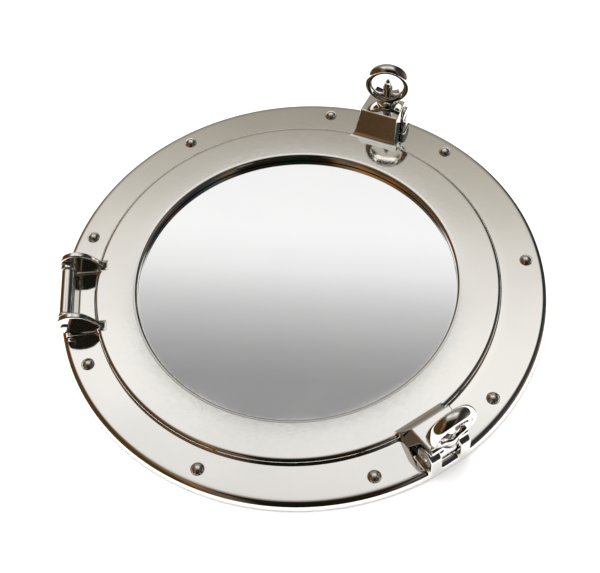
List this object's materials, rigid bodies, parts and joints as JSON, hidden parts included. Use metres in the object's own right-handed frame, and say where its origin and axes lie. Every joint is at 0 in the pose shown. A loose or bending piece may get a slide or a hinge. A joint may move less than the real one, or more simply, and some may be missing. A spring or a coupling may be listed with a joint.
{
  "type": "opening porthole",
  "caption": "Round opening porthole: flanged ring, side-hinged mirrored door held shut by swing bolts with ring nuts in forked lugs, fixed by domed screws.",
  "frame": {"origin": "centre of the flange ring's flat back face, on the bulkhead", "axes": "+Z is the outward normal of the bulkhead, towards the viewer; +X points from the hinge across the ring to the opening side; +Y is up on a wall with the hinge at the left"},
  "size_m": [0.381, 0.381, 0.0963],
  "materials": {
    "plated_brass": "polished nickel plate over cast brass",
    "plated_screws": "polished nickel plate",
    "mirror": "silvered float glass",
    "black_rubber": "matt",
    "backing": "mill finish sheet",
    "raw_brass": "turned, unplated",
    "steel_fixings": "zinc plated"
  },
  "bodies": {
    "frame": {"flange_ring": "plated_brass", "mounting_screws": "plated_screws", "hinge_knuckle": "plated_brass", "hinge_collars": "plated_brass", "hinge_pin": "plated_brass", "hinge_knuckle_screws": "steel_fixings", "upper_dog_pin": "plated_brass", "lower_dog_pin": "plated_brass"},
    "door": {"door_ring": "plated_brass", "glazing_ring": "black_rubber", "mirror_glass": "mirror", "backing_plate": "backing", "retaining_ring": "raw_brass", "retaining_screws": "steel_fixings", "door_seal": "black_rubber"},
    "upper_bolt": {"upper_swing_bolt": "plated_brass"},
    "upper_washer": {"upper_nut_washer": "plated_brass"},
    "upper_nut": {"upper_ring_nut": "plated_brass"},
    "lower_bolt": {"lower_swing_bolt": "plated_brass"},
    "lower_washer": {"lower_nut_washer": "plated_brass"},
    "lower_nut": {"lower_ring_nut": "plated_brass"}
  },
  "joints": [
    {"name": "door_hinge", "type": "hinge", "parent": "frame", "child": "door", "pos_m": [-0.182, -0.0015, 0.018], "axis": [0, -1, 0], "range_deg": [0, 110]},
    {"name": "upper_dog_swing", "type": "hinge", "parent": "frame", "child": "upper_bolt", "pos_m": [0.08581, 0.15937, 0.0185], "axis": [-0.8805, 0.4741, 0], "range_deg": [0, 95]},
    {"name": "upper_nut_travel", "type": "slide", "parent": "upper_bolt", "child": "upper_washer", "axis": [0, 0, 1], "range_m": [0, 0.012]},
    {"name": "upper_nut_turn", "type": "hinge", "parent": "upper_washer", "child": "upper_nut", "pos_m": [0.08581, 0.15937, 0.038], "axis": [0, 0, 1], "range_deg": [0, 3450]},
    {"name": "lower_dog_swing", "type": "hinge", "parent": "frame", "child": "lower_bolt", "pos_m": [0.08775, -0.15831, 0.0185], "axis": [0.8746, 0.4848, 0], "range_deg": [-8, 87]},
    {"name": "lower_nut_travel", "type": "slide", "parent": "lower_bolt", "child": "lower_washer", "axis": [0.0675, -0.1217, 0.9903], "range_m": [0, 0.0105]},
    {"name": "lower_nut_turn", "type": "hinge", "parent": "lower_washer", "child": "lower_nut", "pos_m": [0.08907, -0.16068, 0.03781], "axis": [0.0675, -0.1217, 0.9903], "range_deg": [0, 3000]}
  ],
  "couplings": [
    {"joint": "upper_nut_travel", "follows": "upper_nut_turn", "m_per_rad": 0.00019894},
    {"joint": "lower_nut_travel", "follows": "lower_nut_turn", "m_per_rad": 0.00019894}
  ]
}
